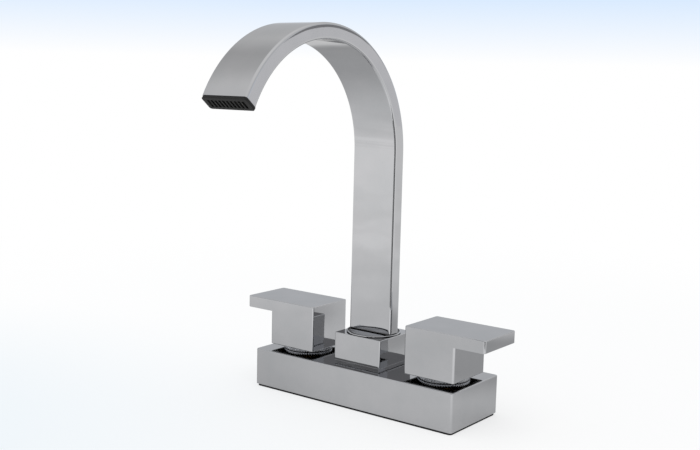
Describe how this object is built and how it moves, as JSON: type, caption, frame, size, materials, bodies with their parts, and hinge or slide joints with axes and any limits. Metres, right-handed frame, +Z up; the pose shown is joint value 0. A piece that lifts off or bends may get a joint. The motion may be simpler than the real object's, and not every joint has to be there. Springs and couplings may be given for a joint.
{
  "type": "basin mixer tap",
  "caption": "Chromed basin mixer tap: rectangular base, square lever handles that open by a quarter turn, square collar and a flat swan-neck spout that swivels, with a slotted black outlet.",
  "frame": {"origin": "on the deck plane, under the axis on which the spout turns, midway between the two valves", "axes": "+X along the base to the user's right, -Y towards the user (the way the spout reaches), +Z up"},
  "size_m": [0.174, 0.1566, 0.2226],
  "materials": {
    "chrome": "mirror polished chrome plate",
    "cast_brass": "sand-cast brass, satin",
    "turned_brass": "turned brass, bright",
    "gasket_rubber": "matt EPDM foam",
    "seal_rubber": "smooth nitrile rubber",
    "black_acetal": "machined acetal",
    "white_acetal": "moulded acetal",
    "black_plastic": "moulded ABS, satin",
    "ceramic": "lapped alumina ceramic, opaque",
    "spring_steel": "stainless steel"
  },
  "bodies": {
    "base": {"deck_gasket": "gasket_rubber", "base_cover": "chrome", "waterway": "cast_brass", "collar": "chrome", "gland_nut": "turned_brass", "glide_ring": "black_acetal", "headwork_left": "turned_brass", "headwork_right": "turned_brass", "headwork_o_ring_left": "seal_rubber", "headwork_o_ring_right": "seal_rubber", "seat_seal_left": "seal_rubber", "seat_seal_right": "seal_rubber", "fixed_disc_left": "ceramic", "fixed_disc_right": "ceramic", "knurled_ring_left": "chrome", "knurled_ring_right": "chrome"},
    "left_handle": {"handle_left": "chrome", "spindle_left": "turned_brass", "moving_disc_left": "ceramic", "spindle_o_ring_left": "seal_rubber", "spindle_clip_left": "spring_steel", "set_screw_left": "spring_steel"},
    "right_handle": {"handle_right": "chrome", "spindle_right": "turned_brass", "moving_disc_right": "ceramic", "spindle_o_ring_right": "seal_rubber", "spindle_clip_right": "spring_steel", "set_screw_right": "spring_steel"},
    "spout_body": {"spout": "chrome", "spout_shank": "turned_brass", "spout_o_rings": "seal_rubber", "split_ring": "white_acetal", "outlet_insert": "white_acetal", "outlet_seal": "seal_rubber", "outlet_grille": "black_plastic"}
  },
  "joints": [
    {"name": "left_handle_turn", "type": "hinge", "parent": "base", "child": "left_handle", "pos_m": [-0.0508, 0, 0.04], "axis": [0, 0, 1], "range_deg": [0, 90]},
    {"name": "right_handle_turn", "type": "hinge", "parent": "base", "child": "right_handle", "pos_m": [0.0508, 0, 0.04], "axis": [0, 0, 1], "range_deg": [-90, 0]},
    {"name": "spout_swivel", "type": "hinge", "parent": "base", "child": "spout_body", "pos_m": [0, 0, 0.04], "axis": [0, 0, 1], "range_deg": [-60, 60]}
  ]
}
